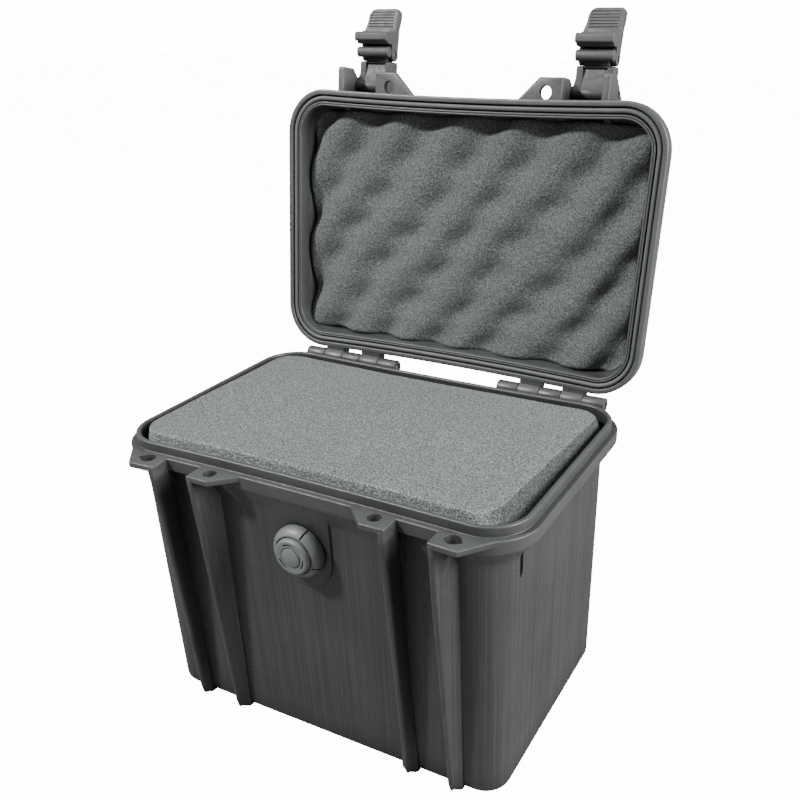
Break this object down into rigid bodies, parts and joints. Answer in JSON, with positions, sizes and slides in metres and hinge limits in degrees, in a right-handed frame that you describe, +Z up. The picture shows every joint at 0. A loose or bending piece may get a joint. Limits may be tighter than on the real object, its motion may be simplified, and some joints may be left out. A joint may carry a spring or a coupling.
{
  "type": "hard equipment case",
  "caption": "Deep moulded equipment case with hinged lid, double-throw latches, purge valve, rim seal, foam lining and fold-down lid handle.",
  "frame": {"origin": "centre of the flat underside of the base", "axes": "+Z up, latches and purge valve face -Y, hinges at the back towards +Y, +X to the right seen from the front"},
  "size_m": [0.3, 0.293, 0.456],
  "materials": {
    "shell": "moulded, fine vertical grain",
    "latch": "moulded satin",
    "steel": "ground rod",
    "rubber": "soft moulded",
    "foam": "open-cell polyurethane foam",
    "lid_foam": "convoluted polyurethane foam",
    "valve": "moulded satin",
    "membrane": "vent membrane",
    "handle": "moulded"
  },
  "bodies": {
    "base": {"base_shell": "shell", "foam_floor": "foam", "foam_lower": "foam", "foam_upper": "foam", "valve_body": "valve", "valve_seal": "rubber", "valve_membrane": "membrane", "valve_nut": "valve", "hinge_pin_left": "steel", "hinge_pin_right": "steel"},
    "lid": {"lid_shell": "shell", "lid_gasket": "rubber", "foam_lid": "lid_foam", "latch_arm_pin_left": "steel", "latch_arm_pin_right": "steel", "handle_pin_left": "steel", "handle_pin_right": "steel"},
    "handle": {"carry_handle": "handle"},
    "purge_knob": {"valve_knob": "valve"},
    "arm_left": {"latch_arm_left": "latch", "latch_lever_pin_left": "steel"},
    "lever_left": {"latch_lever_left": "latch"},
    "arm_right": {"latch_arm_right": "latch", "latch_lever_pin_right": "steel"},
    "lever_right": {"latch_lever_right": "latch"}
  },
  "joints": [
    {"name": "lid_hinge", "type": "hinge", "parent": "base", "child": "lid", "pos_m": [0, 0.1046, 0.2042], "axis": [1, 0, 0], "range_deg": [-8, 99.1]},
    {"name": "handle_fold", "type": "hinge", "parent": "lid", "child": "handle", "pos_m": [0, 0.16212, 0.28573], "axis": [-1, 0, 0], "range_deg": [0, 95]},
    {"name": "purge_turn", "type": "hinge", "parent": "base", "child": "purge_knob", "pos_m": [0, -0.1, 0.1595], "axis": [0, -1, 0], "range_deg": [0, 180]},
    {"name": "latch_arm_left_swing", "type": "hinge", "parent": "lid", "child": "arm_left", "pos_m": [-0.08665, 0.15704, 0.40453], "axis": [1, 0, 0], "range_deg": [-10, 90]},
    {"name": "latch_lever_left_throw", "type": "hinge", "parent": "arm_left", "child": "lever_left", "pos_m": [-0.08665, 0.1682, 0.42553], "axis": [-1, 0, 0], "range_deg": [0, 40]},
    {"name": "latch_arm_right_swing", "type": "hinge", "parent": "lid", "child": "arm_right", "pos_m": [0.08665, 0.15704, 0.40453], "axis": [1, 0, 0], "range_deg": [-10, 90]},
    {"name": "latch_lever_right_throw", "type": "hinge", "parent": "arm_right", "child": "lever_right", "pos_m": [0.08665, 0.1682, 0.42553], "axis": [-1, 0, 0], "range_deg": [0, 40]}
  ]
}
